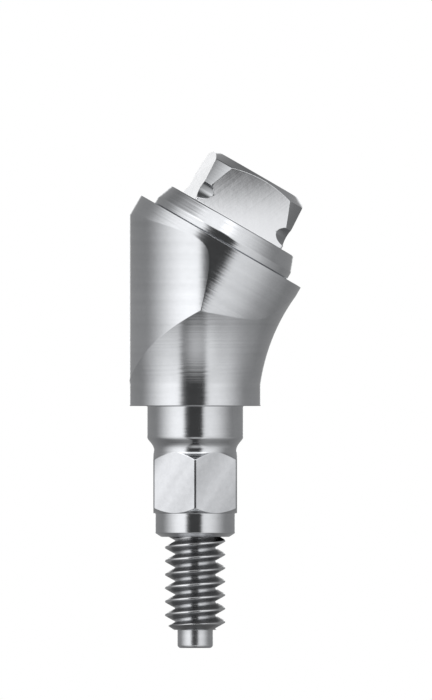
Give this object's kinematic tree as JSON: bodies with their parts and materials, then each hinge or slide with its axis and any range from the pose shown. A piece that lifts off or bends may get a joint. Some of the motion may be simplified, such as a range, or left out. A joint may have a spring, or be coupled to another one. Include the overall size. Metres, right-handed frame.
{
  "type": "angled dental abutment",
  "caption": "Angled screw-retained dental implant abutment with hex connection, captive screw and square-drive prosthetic head.",
  "frame": {"origin": "centre of the implant platform plane, on the implant axis", "axes": "+Z out of the implant along the implant axis, +X to the side that the angled head leans to"},
  "size_m": [0.0045, 0.0048, 0.0129],
  "materials": {
    "titanium_body": "fine-turned bare titanium",
    "titanium_screw": "fine-turned bare titanium",
    "titanium_head": "fine-milled bare titanium"
  },
  "bodies": {
    "abutment": {"abutment_body": "titanium_body", "prosthetic_head": "titanium_head"},
    "screw": {"abutment_screw": "titanium_screw"}
  },
  "joints": [
    {"name": "screw_turn", "type": "hinge", "parent": "abutment", "child": "screw", "pos_m": [0, 0, 0], "axis": [0, 0, 1], "continuous": true}
  ]
}
